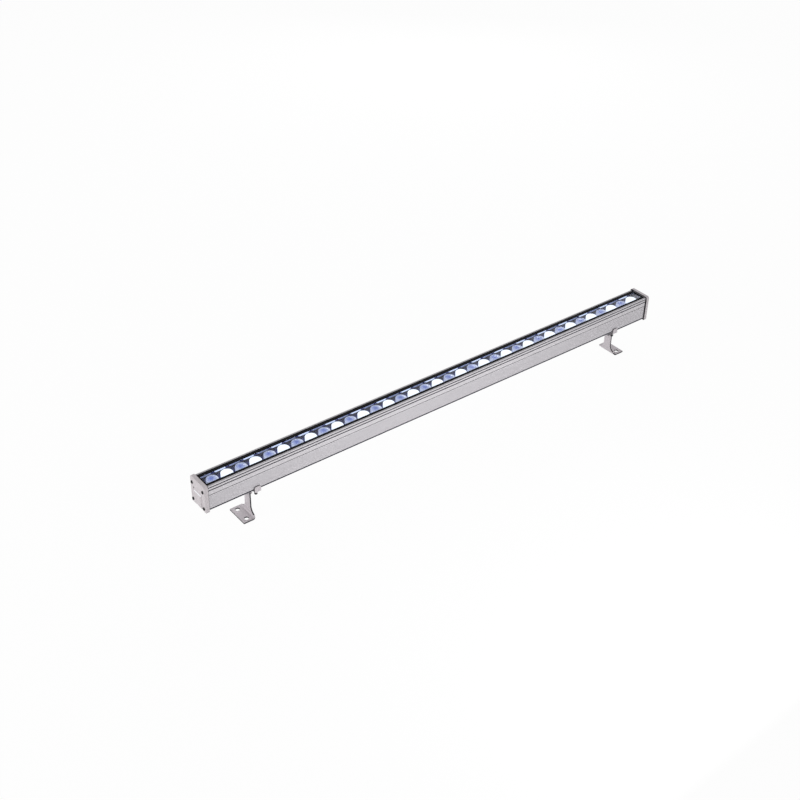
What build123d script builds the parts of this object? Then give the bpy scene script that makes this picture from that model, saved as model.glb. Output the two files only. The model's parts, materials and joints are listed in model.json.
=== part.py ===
from build123d import *
import os

# A linear wall washer: a ribbed aluminium channel holds a row of lenses under glass, cast caps close
# its ends, and two clips that slide along its lower edges carry feet that tilt.
# Millimetres, +Z up, X along the lamp, -Y the front. The origin is on the ground under its middle.

# Row of lenses
LENS_COUNT = 36
LENS_PITCH = 27.0
ROW_END = 27.5               # end lens centre to the outer face of the end cap
LENS_DIAMETER = 20.6
LENS_SHOULDER = 0.9          # how far the drum overlaps the tray
LENS_DRUM = 7.8              # straight part above the tray
LENS_CROWN = 1.2
LENS_DEPTH = 4.5             # tapered body below the drum
LENS_BASE_DIAMETER = 9.6
LENS_FIT = 0.15              # between a lens and its hole in the tray
LENS_BOARD_GAP = 0.3
LENS_GLASS_GAP = 0.6

# Light source
EMITTER_SIZE = 3.4
EMITTER_HEIGHT = 0.8
EMITTER_DOME_RADIUS = 1.3
EMITTER_GAP = 0.3            # around the emitter, in the pocket of its lens
BOARD_THICKNESS = 1.6
BOARD_SIDE_CLEARANCE = 0.3
BOARD_FIT = 0.2              # between the board and the rails over its edges
BOARD_RAIL = 1.0             # thickness of those rails, and how far they overlap the board

# Housing extrusion, from the ground side up
FLOOR_WALL = 2.4
LOWER_CAVITY = 20.6          # room for the driver
WEB = 2.4                    # floor under the board
SIDE_WALL = 2.2
NECK_CLEARANCE = 2.4         # lens edge to the glass ledge
LEDGE_WIDTH = 4.2
LEDGE_THICKNESS = 3.0
RIM_LAND = 2.6
RIM_GROOVE_DEPTH = 0.5       # along the middle of each rim
RIM_EDGE = 0.5
CORNER_RADIUS = 0.9
END_CLEARANCE = 0.5          # from the strips inside to the end gaskets

# Glass and its frame
GLASS_THICKNESS = 4.0
GLASS_SIDE_CLEARANCE = 0.3
GLASS_EDGE = 0.5
SEAL_THICKNESS = 1.5
SEAL_WIDTH = 5.8
SEAL_END_WIDTH = 2.0
SEAL_RECESS = 0.3            # rim above the seal
SEAL_CORNER_RADIUS = 1.5

# Lens tray and its rails
TRAY_THICKNESS = 2.0
TRAY_SIDE_CLEARANCE = 0.3
TRAY_RAIL_THICKNESS = 2.0
TRAY_RAIL_OVERLAP = 2.5

# Lines along the sides of the housing
RIB_PITCH = 2.2
RIB_DEPTH = 0.6
RIB_BAND_START = 1.2         # above the hook groove
LINE_WIDTH = 1.8
LOWER_LINE_WIDTH = 0.9
LINE_DEPTH = 1.2
UPPER_LINE_DROP = 3.1        # the three lines, measured down from the rim
MIDDLE_LINE_DROP = 8.4
LOWER_LINE_DROP = 17.5
HOOK_GROOVE_HEIGHT = 2.1
HOOK_GROOVE_WIDTH = 2.2
HOOK_GROOVE_DEPTH = 1.3

# End caps, gaskets and their screws
CAP_THICKNESS = 7.0
CAP_SIDE_OVERHANG = 2.2
CAP_TOP_OVERHANG = 2.4
CAP_BOTTOM_OVERHANG = 2.2
CAP_CORNER_RADIUS = 4.5
CAP_FOOT_RADIUS = 1.5
CAP_EDGE = 0.8
PAD_WIDTH = 22.0
PAD_HEIGHT = 26.0
PAD_RISE = 1.5
PAD_EDGE = 1.2
NOTCH_LAND = 1.0             # between the pad and the notch in the lower edge
VENT_RADIUS = 1.4            # blind hole above a corner of the pad
VENT_DEPTH = 2.5
VENT_SIDE = 12.5             # behind the middle
VENT_HEIGHT = 29.3           # above the underside
GASKET_THICKNESS = 1.5
GASKET_INSET = 0.6
CAP_SCREW_RADIUS = 1.5
CAP_SCREW_HEAD_RADIUS = 2.75
CAP_SCREW_HEAD = 3.0
CAP_SCREW_PROUD = 1.3        # head above the cap
CAP_SCREW_GRIP = 12.0        # length in the housing
CAP_SCREW_SOCKET = 2.5       # across the flats
CAP_SCREW_SOCKET_DEPTH = 1.4
CHANNEL_INSET = 3.4          # screw lines from the sides
LOWER_CHANNEL = 4.6          # screw lines above the underside
UPPER_CHANNEL = 37.8
CHANNEL_WALL = 1.75
SCREW_FIT = 0.05
SCREW_HOLE_CLEARANCE = 0.2

# Driver and terminal block
DRIVER_LENGTH = 280.0
DRIVER_SIDE_CLEARANCE = 1.0
DRIVER_HEADROOM = 3.0
DRIVER_EDGE = 1.5
TERMINAL_INSET = 40.0        # from the end of the housing
TERMINAL_LENGTH = 18.0
TERMINAL_HEIGHT = 11.0
TERMINAL_POLE = 7.0
TERMINAL_POLES = 3
TERMINAL_HOLE_RADIUS = 1.8
TERMINAL_HOLE_DEPTH = 8.0

# Cable gland
GLAND_AXIS = 13.6            # above the underside
GLAND_THREAD_RADIUS = 6.0
GLAND_THREAD_SHORT = 0.5     # the thread ends short of the inside of the cap
GLAND_FIT = 0.05
GLAND_FLATS = 15.0
GLAND_FLANGE = 2.5
GLAND_STUB_RADIUS = 5.2
GLAND_STUB = 4.0
GLAND_BORE_RADIUS = 3.5
GLAND_SEAL_RADIUS = 4.5
GLAND_NUT_FLATS = 13.6
GLAND_NUT_LIP = 2.0
GLAND_NUT_EDGE = 1.0
GLAND_NUT_GAP = 0.1

# Clips on the housing
LEFT_CLIP_INSET = 96.5       # clip centre from the end of the lamp
RIGHT_CLIP_INSET = 87.5
CLIP_LENGTH = 12.0
CLIP_BASE = 2.8
CLIP_GAP = 0.3               # running clearance on the housing
LIP_THICKNESS = 2.2
LIP_RISE = 5.0               # lip above its hook
LIP_CORNER_RADIUS = 3.0
TAB_THICKNESS = 3.0
LOCK_OFFSET = 15.0           # lock screw in front of the middle
LOCK_SCREW_RADIUS = 1.5
LOCK_SCREW_TIP_GAP = 0.1
LOCK_BOSS_RADIUS = 2.8
LOCK_BOSS = 6.0
LOCK_HEAD_RADIUS = 2.75
LOCK_HEAD = 3.0
LOCK_SOCKET = 2.5
LOCK_SOCKET_DEPTH = 1.4

# Feet and their pivots
PIVOT_HEIGHT = 46.3          # above the ground
PIVOT_DROP = 11.0            # below the housing
PIVOT_RADIUS = 3.0
PIVOT_FIT = 0.08
PIVOT_SIDE_GAP = 0.1         # on each side of the arm
PIVOT_FLATS = 10.0
PIVOT_HEAD = 4.0
PIVOT_NUT = 5.0
PIVOT_TAIL = 2.0
WASHER_RADIUS = 6.0
WASHER_THICKNESS = 1.2
FOOT_PLATE = 2.5
FOOT_WIDTH = 45.0
FOOT_LENGTH = 21.5           # outwards from the arm
FOOT_CORNER_RADIUS = 1.0
FOOT_BEND_RADIUS = 2.0
FOOT_BEND_CORNER = 6.0       # corners in plan beside the bend
ARM_WIDTH = 17.0
FLARE_START = 4.0
FOOT_HOLE_RADIUS = 4.0
FOOT_HOLE_SPACING = 28.0
FOOT_HOLE_OUT = 11.5         # hole centres from the arm

# Lengths that follow
LAMP_LENGTH = (LENS_COUNT - 1) * LENS_PITCH + 2 * ROW_END
HOUSING_LENGTH = LAMP_LENGTH - 2 * (CAP_THICKNESS + GASKET_THICKNESS)
INNER_LENGTH = HOUSING_LENGTH - 2 * END_CLEARANCE
CAP_INNER_X = HOUSING_LENGTH / 2 + GASKET_THICKNESS
CAP_OUTER_X = LAMP_LENGTH / 2
PAD_X = CAP_OUTER_X + PAD_RISE

# Heights that follow, from the underside of the housing
WEB_TOP = FLOOR_WALL + LOWER_CAVITY + WEB
BOARD_TOP = WEB_TOP + BOARD_THICKNESS
LENS_BASE = BOARD_TOP + LENS_BOARD_GAP
TRAY_TOP = LENS_BASE + LENS_DEPTH
LEDGE_TOP = TRAY_TOP + LENS_DRUM + LENS_CROWN + LENS_GLASS_GAP
LEDGE_BOTTOM = LEDGE_TOP - LEDGE_THICKNESS
GLASS_TOP = LEDGE_TOP + GLASS_THICKNESS
HOUSING_HEIGHT = GLASS_TOP + SEAL_THICKNESS + SEAL_RECESS
HOUSING_BASE = PIVOT_HEIGHT + PIVOT_DROP
CLIP_BOTTOM = -CLIP_GAP - CLIP_BASE
LOCK_BOSS_BOTTOM = CLIP_BOTTOM - LOCK_BOSS

# Half widths that follow, from the middle of the housing
LENS_NECK_RADIUS = LENS_DIAMETER / 2 - LENS_SHOULDER
NECK_HALF = LENS_DIAMETER / 2 + NECK_CLEARANCE
MOUTH_HALF = NECK_HALF + LEDGE_WIDTH
HOUSING_HALF = MOUTH_HALF + RIM_LAND + RIM_EDGE
CAVITY_HALF = HOUSING_HALF - SIDE_WALL
CHANNEL_Y = HOUSING_HALF - CHANNEL_INSET
CHANNEL_RADIUS = CAP_SCREW_RADIUS + SCREW_FIT
CHANNEL_BOSS_RADIUS = CHANNEL_RADIUS + CHANNEL_WALL
CHANNEL_INNER = CHANNEL_Y - CHANNEL_BOSS_RADIUS
BOARD_HALF = CAVITY_HALF - BOARD_SIDE_CLEARANCE
TRAY_HALF = CAVITY_HALF - TRAY_SIDE_CLEARANCE
LIP_INNER = HOUSING_HALF + CLIP_GAP
LIP_OUTER = LIP_INNER + LIP_THICKNESS

LENS_XS = [(i - (LENS_COUNT - 1) / 2) * LENS_PITCH for i in range(LENS_COUNT)]
SCREW_LINES = [
    (side * CHANNEL_Y, z)
    for side in (-1, 1)
    for z in (LOWER_CHANNEL, UPPER_CHANNEL)
]
FLOOR_ALIGN = (Align.CENTER, Align.CENTER, Align.MIN)


def block(width, bottom, top, y=0.0):
    """Rectangle in the Y-Z section, from bottom to top."""
    return Pos(y, bottom) * Rectangle(width, top - bottom, align=(Align.CENTER, Align.MIN))


def side_block(inner, outer, bottom, top):
    """The same rectangle on both sides of the section."""
    middle = (inner + outer) / 2
    return [block(outer - inner, bottom, top, side * middle) for side in (-1, 1)]


def hexagon(flats):
    """Hexagon of the given size across its flats."""
    return RegularPolygon(flats / 2, 6, major_radius=False)


def vee(depth):
    """Square on its corner, which cuts a groove of the given depth where its middle is on a face."""
    return Rot(0, 0, 45) * Rectangle(depth * 2**0.5, depth * 2**0.5)


def run_along(section, start, length, level=HOUSING_BASE):
    """Extrude a Y-Z section along X. Its heights count from the given level."""
    plane = Plane(origin=(start, 0, level), x_dir=(0, 1, 0), z_dir=(1, 0, 0))
    return extrude(plane * section, length)


def run_across(section, half_width, level):
    """Extrude an X-Z section along Y, to both sides of the middle. Its heights count from the given level."""
    plane = Plane(origin=(0, 0, level), x_dir=(1, 0, 0), z_dir=(0, -1, 0))
    return extrude(plane * section, half_width, both=True)


def on_floor(section, bottom, thickness):
    """Extrude an X-Y section upwards. The bottom counts from the underside of the housing."""
    return extrude(Pos(0, 0, HOUSING_BASE + bottom) * section, thickness)


def outer_edges(solid):
    """Edges of the face that looks along +X furthest out."""
    return solid.faces().sort_by(Axis.X)[-1].edges()


def housing_outline():
    """Housing section without its grooves and hollows."""
    outline = block(2 * HOUSING_HALF, 0, HOUSING_HEIGHT)
    outline = chamfer(outline.vertices().group_by(Axis.Y)[-1], RIM_EDGE)
    return fillet(outline.vertices().group_by(Axis.Y)[0], CORNER_RADIUS)


def side_grooves():
    """Hook grooves for the clips, three long lines, the band of fine ribs and a rim groove, on both sides."""
    cuts = []
    lines = [
        (HOUSING_HEIGHT - UPPER_LINE_DROP, LINE_WIDTH),
        (HOUSING_HEIGHT - MIDDLE_LINE_DROP, LINE_WIDTH),
        (HOUSING_HEIGHT - LOWER_LINE_DROP, LOWER_LINE_WIDTH),
    ]
    first_rib = HOOK_GROOVE_HEIGHT + HOOK_GROOVE_WIDTH / 2 + RIB_BAND_START
    last_rib = HOUSING_HEIGHT - LOWER_LINE_DROP - LOWER_LINE_WIDTH - RIB_DEPTH
    rib_count = int((last_rib - first_rib) / RIB_PITCH) + 1
    for side in (-1, 1):
        y = side * HOUSING_HALF
        cuts.append(Pos(y, HOOK_GROOVE_HEIGHT) * Rectangle(2 * HOOK_GROOVE_DEPTH, HOOK_GROOVE_WIDTH))
        cuts += [Pos(y, z) * Rectangle(2 * LINE_DEPTH, width) for z, width in lines]
        cuts += [Pos(y, first_rib + i * RIB_PITCH) * vee(RIB_DEPTH) for i in range(rib_count)]
        cuts.append(Pos(side * (MOUTH_HALF + RIM_LAND / 2), HOUSING_HEIGHT) * vee(RIM_GROOVE_DEPTH))
    return cuts


def housing():
    """Extruded channel: driver space, board web, board and tray rails, glass ledge, screw channels."""
    tray_rail = TRAY_TOP - TRAY_THICKNESS - TRAY_RAIL_THICKNESS
    tray_rail_inner = TRAY_HALF - TRAY_RAIL_OVERLAP
    board_rail = BOARD_TOP + BOARD_FIT
    board_rail_inner = BOARD_HALF - BOARD_RAIL
    solid_parts = [Pos(y, z) * Circle(CHANNEL_BOSS_RADIUS) for y, z in SCREW_LINES]
    solid_parts += side_block(tray_rail_inner, CAVITY_HALF, tray_rail, tray_rail + TRAY_RAIL_THICKNESS)
    solid_parts += side_block(board_rail_inner, CAVITY_HALF, board_rail, board_rail + BOARD_RAIL)
    lower = block(2 * CAVITY_HALF, FLOOR_WALL, FLOOR_WALL + LOWER_CAVITY) - solid_parts
    upper = block(2 * CAVITY_HALF, WEB_TOP, LEDGE_BOTTOM) - solid_parts
    neck = block(2 * NECK_HALF, LEDGE_BOTTOM, LEDGE_TOP)
    mouth = block(2 * MOUTH_HALF, LEDGE_TOP, HOUSING_HEIGHT)
    channels = [Pos(y, z) * Circle(CHANNEL_RADIUS) for y, z in SCREW_LINES]
    section = housing_outline() - [lower, upper, neck, mouth, *channels, *side_grooves()]
    return run_along(section, -HOUSING_LENGTH / 2, HOUSING_LENGTH)


def end_cap(with_gland):
    """Cast cap for the right end: raised pad, vent hole, sunk screw heads, notched lower edge."""
    width = 2 * (HOUSING_HALF + CAP_SIDE_OVERHANG)
    outline = block(width, -CAP_BOTTOM_OVERHANG, HOUSING_HEIGHT + CAP_TOP_OVERHANG)
    outline = fillet(outline.vertices().group_by(Axis.Y)[-1], CAP_CORNER_RADIUS)
    outline = fillet(outline.vertices().group_by(Axis.Y)[0], CAP_FOOT_RADIUS)
    pad_bottom = GLAND_AXIS - PAD_HEIGHT / 2
    outline -= block(PAD_WIDTH, -CAP_BOTTOM_OVERHANG, pad_bottom - NOTCH_LAND)
    cap = run_along(outline, CAP_INNER_X, CAP_THICKNESS)
    cap = chamfer(outer_edges(cap), CAP_EDGE)
    pad = run_along(block(PAD_WIDTH, pad_bottom, pad_bottom + PAD_HEIGHT), CAP_INNER_X, PAD_X - CAP_INNER_X)
    cap += chamfer(outer_edges(pad), PAD_EDGE)
    vent = Pos(VENT_SIDE, VENT_HEIGHT) * Circle(VENT_RADIUS)
    cap -= run_along(vent, CAP_OUTER_X - VENT_DEPTH, VENT_DEPTH)
    seat = CAP_OUTER_X + CAP_SCREW_PROUD - CAP_SCREW_HEAD
    for y, z in SCREW_LINES:
        hole = Pos(y, z) * Circle(CAP_SCREW_RADIUS + SCREW_HOLE_CLEARANCE)
        sink = Pos(y, z) * Circle(CAP_SCREW_HEAD_RADIUS + SCREW_HOLE_CLEARANCE)
        cap -= run_along(hole, CAP_INNER_X, CAP_THICKNESS)
        cap -= run_along(sink, seat, CAP_THICKNESS)
    if with_gland:
        thread = Pos(0, GLAND_AXIS) * Circle(GLAND_THREAD_RADIUS + GLAND_FIT)
        cap -= run_along(thread, CAP_INNER_X, PAD_X - CAP_INNER_X)
    return cap


def end_gasket():
    """Flat gasket for the right end, open to the driver space and to the row of lenses."""
    section = offset(housing_outline(), -GASKET_INSET)
    section -= block(2 * (CHANNEL_INNER - DRIVER_SIDE_CLEARANCE), FLOOR_WALL, FLOOR_WALL + LOWER_CAVITY)
    section -= block(2 * NECK_HALF, TRAY_TOP, LEDGE_TOP)
    section -= [Pos(y, z) * Circle(CAP_SCREW_RADIUS + SCREW_HOLE_CLEARANCE) for y, z in SCREW_LINES]
    return run_along(section, HOUSING_LENGTH / 2, GASKET_THICKNESS)


def cap_screw(y, z):
    """Socket-head screw of the right end."""
    top = CAP_OUTER_X + CAP_SCREW_PROUD
    seat = top - CAP_SCREW_HEAD
    tip = HOUSING_LENGTH / 2 - CAP_SCREW_GRIP
    screw = run_along(Pos(y, z) * Circle(CAP_SCREW_HEAD_RADIUS), seat, CAP_SCREW_HEAD)
    screw += run_along(Pos(y, z) * Circle(CAP_SCREW_RADIUS), tip, seat - tip)
    socket = Pos(y, z) * hexagon(CAP_SCREW_SOCKET)
    return screw - run_along(socket, top - CAP_SCREW_SOCKET_DEPTH, CAP_SCREW_SOCKET_DEPTH)


def cover_glass():
    """Strip of glass on the ledges, with ground upper edges."""
    outline = Rectangle(INNER_LENGTH, 2 * (MOUTH_HALF - GLASS_SIDE_CLEARANCE))
    glass = on_floor(outline, LEDGE_TOP, GLASS_THICKNESS)
    return chamfer(glass.faces().sort_by(Axis.Z)[-1].edges(), GLASS_EDGE)


def glass_seal():
    """Flat frame over the edges of the glass."""
    outer = Rectangle(INNER_LENGTH, 2 * MOUTH_HALF)
    window_width = 2 * (MOUTH_HALF - SEAL_WIDTH)
    window = RectangleRounded(INNER_LENGTH - 2 * SEAL_END_WIDTH, window_width, SEAL_CORNER_RADIUS)
    return on_floor(outer - window, GLASS_TOP, SEAL_THICKNESS)


def lens_tray():
    """Plate on the upper rails with a hole for each lens."""
    holes = [Pos(x, 0) * Circle(LENS_NECK_RADIUS + LENS_FIT) for x in LENS_XS]
    return on_floor(Rectangle(INNER_LENGTH, 2 * TRAY_HALF) - holes, TRAY_TOP - TRAY_THICKNESS, TRAY_THICKNESS)


def lens():
    """Collimator on the Z axis: tapered body, drum, shallow crown and a pocket for the emitter."""
    rim = LENS_DIAMETER / 2
    drum_top = LENS_DEPTH + LENS_DRUM
    top = drum_top + LENS_CROWN
    pocket = EMITTER_SIZE * 2**0.5 / 2 + EMITTER_GAP
    pocket_top = EMITTER_HEIGHT + EMITTER_DOME_RADIUS + EMITTER_GAP - LENS_BOARD_GAP
    crown_radius = (rim**2 + LENS_CROWN**2) / (2 * LENS_CROWN)
    crown_mid = (rim / 2, top - crown_radius + (crown_radius**2 - rim**2 / 4) ** 0.5)
    side = Polyline(
        (0, top), (0, pocket_top), (pocket, pocket_top), (pocket, 0), (LENS_BASE_DIAMETER / 2, 0),
        (LENS_NECK_RADIUS, LENS_DEPTH), (rim, LENS_DEPTH), (rim, drum_top),
    )
    crown = ThreePointArc((rim, drum_top), crown_mid, (0, top))
    return revolve(Plane.XZ * make_face([*side.edges(), crown]), Axis.Z)


def led_board():
    """Metal-core board on the web, under its rails."""
    return on_floor(Rectangle(INNER_LENGTH, 2 * BOARD_HALF), WEB_TOP, BOARD_THICKNESS)


def led_emitter():
    """Square LED package with a dome, standing on Z = 0."""
    dome = Pos(0, 0, EMITTER_HEIGHT) * Sphere(EMITTER_DOME_RADIUS, arc_size1=0, align=FLOOR_ALIGN)
    return Box(EMITTER_SIZE, EMITTER_SIZE, EMITTER_HEIGHT, align=FLOOR_ALIGN) + dome


def driver_module():
    """Potted driver that lies on the floor of the housing, behind the terminal block."""
    end = HOUSING_LENGTH / 2 - TERMINAL_INSET - TERMINAL_LENGTH
    width = 2 * (CHANNEL_INNER - DRIVER_SIDE_CLEARANCE)
    case = block(width, FLOOR_WALL, FLOOR_WALL + LOWER_CAVITY - DRIVER_HEADROOM)
    case = fillet(case.vertices().group_by(Axis.Y)[-1], DRIVER_EDGE)
    return run_along(case, end - DRIVER_LENGTH, DRIVER_LENGTH)


def terminal_block():
    """Screw terminals against the end of the driver: a wire hole and a screw well for each pole."""
    start = HOUSING_LENGTH / 2 - TERMINAL_INSET - TERMINAL_LENGTH
    top = FLOOR_WALL + TERMINAL_HEIGHT
    block_solid = run_along(block(TERMINAL_POLES * TERMINAL_POLE, FLOOR_WALL, top), start, TERMINAL_LENGTH)
    for i in range(TERMINAL_POLES):
        y = (i - (TERMINAL_POLES - 1) / 2) * TERMINAL_POLE
        wire = Pos(y, FLOOR_WALL + TERMINAL_HEIGHT / 3) * Circle(TERMINAL_HOLE_RADIUS)
        well = Pos(start + TERMINAL_LENGTH / 2, y) * Circle(TERMINAL_HOLE_RADIUS)
        block_solid -= run_along(wire, start + TERMINAL_LENGTH - TERMINAL_HOLE_DEPTH, TERMINAL_HOLE_DEPTH)
        block_solid -= on_floor(well, top - TERMINAL_HEIGHT / 3, TERMINAL_HEIGHT / 3)
    return block_solid


def gland_round(radius, start, length):
    """Round bar on the gland's axis. The start counts from the face of the pad."""
    return run_along(Pos(0, GLAND_AXIS) * Circle(radius), PAD_X + start, length)


def cable_gland():
    """Gland body: thread in the cap, hexagon flange, and a stub with the pocket for the seal."""
    inner_end = CAP_INNER_X + GLAND_THREAD_SHORT - PAD_X
    body = gland_round(GLAND_THREAD_RADIUS, inner_end, -inner_end)
    body += run_along(Pos(0, GLAND_AXIS) * hexagon(GLAND_FLATS), PAD_X, GLAND_FLANGE)
    body += gland_round(GLAND_STUB_RADIUS, GLAND_FLANGE, GLAND_STUB)
    body -= gland_round(GLAND_BORE_RADIUS, inner_end, GLAND_FLANGE - inner_end)
    return body - gland_round(GLAND_SEAL_RADIUS, GLAND_FLANGE, GLAND_STUB)


def gland_seal():
    """Rubber sleeve that the nut presses on the cable."""
    sleeve = gland_round(GLAND_SEAL_RADIUS - GLAND_FIT, GLAND_FLANGE, GLAND_STUB)
    return sleeve - gland_round(GLAND_BORE_RADIUS, GLAND_FLANGE, GLAND_STUB)


def gland_nut():
    """Hexagon cap nut on the stub."""
    start = GLAND_FLANGE + GLAND_NUT_GAP
    length = GLAND_STUB - GLAND_NUT_GAP + GLAND_NUT_LIP
    nut = run_along(Pos(0, GLAND_AXIS) * hexagon(GLAND_NUT_FLATS), PAD_X + start, length)
    nut = chamfer(outer_edges(nut), GLAND_NUT_EDGE)
    nut -= gland_round(GLAND_STUB_RADIUS + GLAND_FIT, start, GLAND_STUB - GLAND_NUT_GAP)
    return nut - gland_round(GLAND_BORE_RADIUS, start, length)


def clip():
    """Clip for the right end, about X = 0: hooked lips, base, pivot tab and threaded boss."""
    tooth_bottom = HOOK_GROOVE_HEIGHT - HOOK_GROOVE_WIDTH / 2 + CLIP_GAP
    tooth_top = HOOK_GROOVE_HEIGHT + HOOK_GROOVE_WIDTH / 2 - CLIP_GAP
    lip_top = tooth_top + LIP_RISE
    tooth_tip = HOUSING_HALF - HOOK_GROOVE_DEPTH + CLIP_GAP
    section = block(2 * LIP_OUTER, CLIP_BOTTOM, -CLIP_GAP)
    section += side_block(LIP_INNER, LIP_OUTER, CLIP_BOTTOM, lip_top)
    section += side_block(tooth_tip, LIP_INNER, tooth_bottom, tooth_top)
    channel = run_along(section, -CLIP_LENGTH / 2, CLIP_LENGTH)
    side_view = block(CLIP_LENGTH, CLIP_BOTTOM, lip_top)
    side_view = fillet(side_view.vertices().group_by(Axis.Y)[-1], LIP_CORNER_RADIUS)
    channel &= run_across(side_view, LIP_OUTER, HOUSING_BASE)
    tab = Pos(0, -PIVOT_DROP) * Circle(ARM_WIDTH / 2) + block(ARM_WIDTH, -PIVOT_DROP, CLIP_BOTTOM)
    tab -= Pos(0, -PIVOT_DROP) * Circle(PIVOT_RADIUS + PIVOT_FIT)
    body = channel + run_along(tab, CLIP_LENGTH / 2 - TAB_THICKNESS, TAB_THICKNESS)
    body += on_floor(Pos(0, -LOCK_OFFSET) * Circle(LOCK_BOSS_RADIUS), LOCK_BOSS_BOTTOM, LOCK_BOSS)
    bore = Pos(0, -LOCK_OFFSET) * Circle(LOCK_SCREW_RADIUS + SCREW_FIT)
    return body - on_floor(bore, LOCK_BOSS_BOTTOM, -LOCK_BOSS_BOTTOM)


def lock_screw():
    """Socket-head screw that presses on the underside of the housing."""
    head_bottom = LOCK_BOSS_BOTTOM - LOCK_HEAD
    shank = -LOCK_SCREW_TIP_GAP - LOCK_BOSS_BOTTOM
    place = Pos(0, -LOCK_OFFSET)
    screw = on_floor(place * Circle(LOCK_HEAD_RADIUS), head_bottom, LOCK_HEAD)
    screw += on_floor(place * Circle(LOCK_SCREW_RADIUS), LOCK_BOSS_BOTTOM, shank)
    return screw - on_floor(place * hexagon(LOCK_SOCKET), head_bottom, LOCK_SOCKET_DEPTH)


def pivot_fasteners():
    """Bolt, washer and nut on which the foot tilts, about the clip's X = 0."""
    axis = Pos(0, -PIVOT_DROP)
    washer_start = CLIP_LENGTH / 2 + 2 * PIVOT_SIDE_GAP + FOOT_PLATE
    head_start = washer_start + WASHER_THICKNESS
    nut_end = CLIP_LENGTH / 2 - TAB_THICKNESS
    shank_start = nut_end - PIVOT_NUT - PIVOT_TAIL
    loose = axis * Circle(PIVOT_RADIUS + PIVOT_FIT)
    bolt = run_along(axis * Circle(PIVOT_RADIUS), shank_start, head_start - shank_start)
    bolt += run_along(axis * hexagon(PIVOT_FLATS), head_start, PIVOT_HEAD)
    washer = run_along(axis * Circle(WASHER_RADIUS) - loose, washer_start, WASHER_THICKNESS)
    nut = run_along(axis * hexagon(PIVOT_FLATS) - loose, nut_end - PIVOT_NUT, PIVOT_NUT)
    return [bolt, washer, nut]


def foot():
    """Bent plate for the right end, about the clip's X = 0: pivot arm flared to a foot with two holes."""
    inner = CLIP_LENGTH / 2 + PIVOT_SIDE_GAP
    outer = inner + FOOT_PLATE
    end = outer + FOOT_LENGTH
    top = PIVOT_HEIGHT + ARM_WIDTH / 2
    outer_bend = (outer, FOOT_PLATE)
    inner_bend = (inner, 0)
    bent = make_face(
        Polyline(inner_bend, (end, 0), (end, FOOT_PLATE), outer_bend, (outer, top), (inner, top), close=True)
    )
    bent = fillet(bent.vertices().sort_by_distance(outer_bend)[0], FOOT_BEND_RADIUS)
    bent = fillet(bent.vertices().sort_by_distance(inner_bend)[0], FOOT_BEND_RADIUS + FOOT_PLATE)
    plate = run_across(bent, FOOT_WIDTH / 2, level=0)
    flare = (FOOT_WIDTH - ARM_WIDTH) / 2
    shoulder = FLARE_START + flare
    pivot = Pos(0, PIVOT_HEIGHT)
    front_view = pivot * Circle(ARM_WIDTH / 2) + block(ARM_WIDTH, 0, PIVOT_HEIGHT)
    hollows = [Pos(side * FOOT_WIDTH / 2, shoulder) * Circle(flare) for side in (-1, 1)]
    front_view += block(FOOT_WIDTH, 0, shoulder) - hollows
    front_view -= pivot * Circle(PIVOT_RADIUS + PIVOT_FIT)
    plate &= run_along(front_view, inner, end - inner, level=0)
    plan = Pos((inner + end) / 2, 0) * Rectangle(end - inner, FOOT_WIDTH)
    plan = fillet(plan.vertices().group_by(Axis.X)[0], FOOT_BEND_CORNER)
    plan = fillet(plan.vertices().group_by(Axis.X)[-1], FOOT_CORNER_RADIUS)
    plate &= extrude(plan, top)
    for side in (-1, 1):
        place = Pos(outer + FOOT_HOLE_OUT, side * FOOT_HOLE_SPACING / 2)
        plate -= place * Cylinder(FOOT_HOLE_RADIUS, FOOT_PLATE, align=FLOOR_ALIGN)
    return plate


def at_end(solid, side):
    """Mirror a piece of the right end to the left end where side is -1."""
    return solid if side > 0 else mirror(solid, about=Plane.YZ)


def at_clip(solid, side):
    """Set a bracket piece, drawn about X = 0 for the right end, at its clip."""
    inset = RIGHT_CLIP_INSET if side > 0 else LEFT_CLIP_INSET
    return Pos(side * (LAMP_LENGTH / 2 - inset), 0, 0) * at_end(solid, side)


def lamp_nodes():
    """Pieces of the lamp, by name."""
    nodes = {
        "housing": housing(),
        "left_end_cap": at_end(end_cap(with_gland=False), -1),
        "right_end_cap": end_cap(with_gland=True),
        "left_end_gasket": at_end(end_gasket(), -1),
        "right_end_gasket": end_gasket(),
        "cap_screws": Compound([at_end(cap_screw(y, z), side) for side in (-1, 1) for y, z in SCREW_LINES]),
        "cover_glass": cover_glass(),
        "glass_seal": glass_seal(),
        "lens_tray": lens_tray(),
        "led_board": led_board(),
        "led_emitters": Compound([Pos(x, 0, HOUSING_BASE + BOARD_TOP) * led_emitter() for x in LENS_XS]),
        "driver_module": driver_module(),
        "terminal_block": terminal_block(),
        "cable_gland": cable_gland(),
        "gland_seal": gland_seal(),
        "gland_nut": gland_nut(),
    }
    one_lens = lens()
    for number, x in enumerate(LENS_XS, start=1):
        nodes[f"lens_{number:02d}"] = Pos(x, 0, HOUSING_BASE + LENS_BASE) * one_lens
    return nodes


def bracket_nodes(name, side):
    """Clip, fasteners and foot of one end, by name."""
    return {
        f"{name}_clip": at_clip(clip(), side),
        f"{name}_lock_screw": at_clip(lock_screw(), side),
        f"{name}_pivot_fasteners": Compound([at_clip(piece, side) for piece in pivot_fasteners()]),
        f"{name}_foot": at_clip(foot(), side),
    }


os.makedirs("parts", exist_ok=True)
for node, shape in {**lamp_nodes(), **bracket_nodes("left", -1), **bracket_nodes("right", 1)}.items():
    export_step(shape, f"parts/{node}.step")
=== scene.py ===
"""Looks of a linear wall washer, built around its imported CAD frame.

Metres, +Z up, X along the lamp, -Y its front. The origin is on the ground under its middle.
"""

import json
import logging
import math
from dataclasses import dataclass
from enum import Enum
from typing import Sequence

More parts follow.
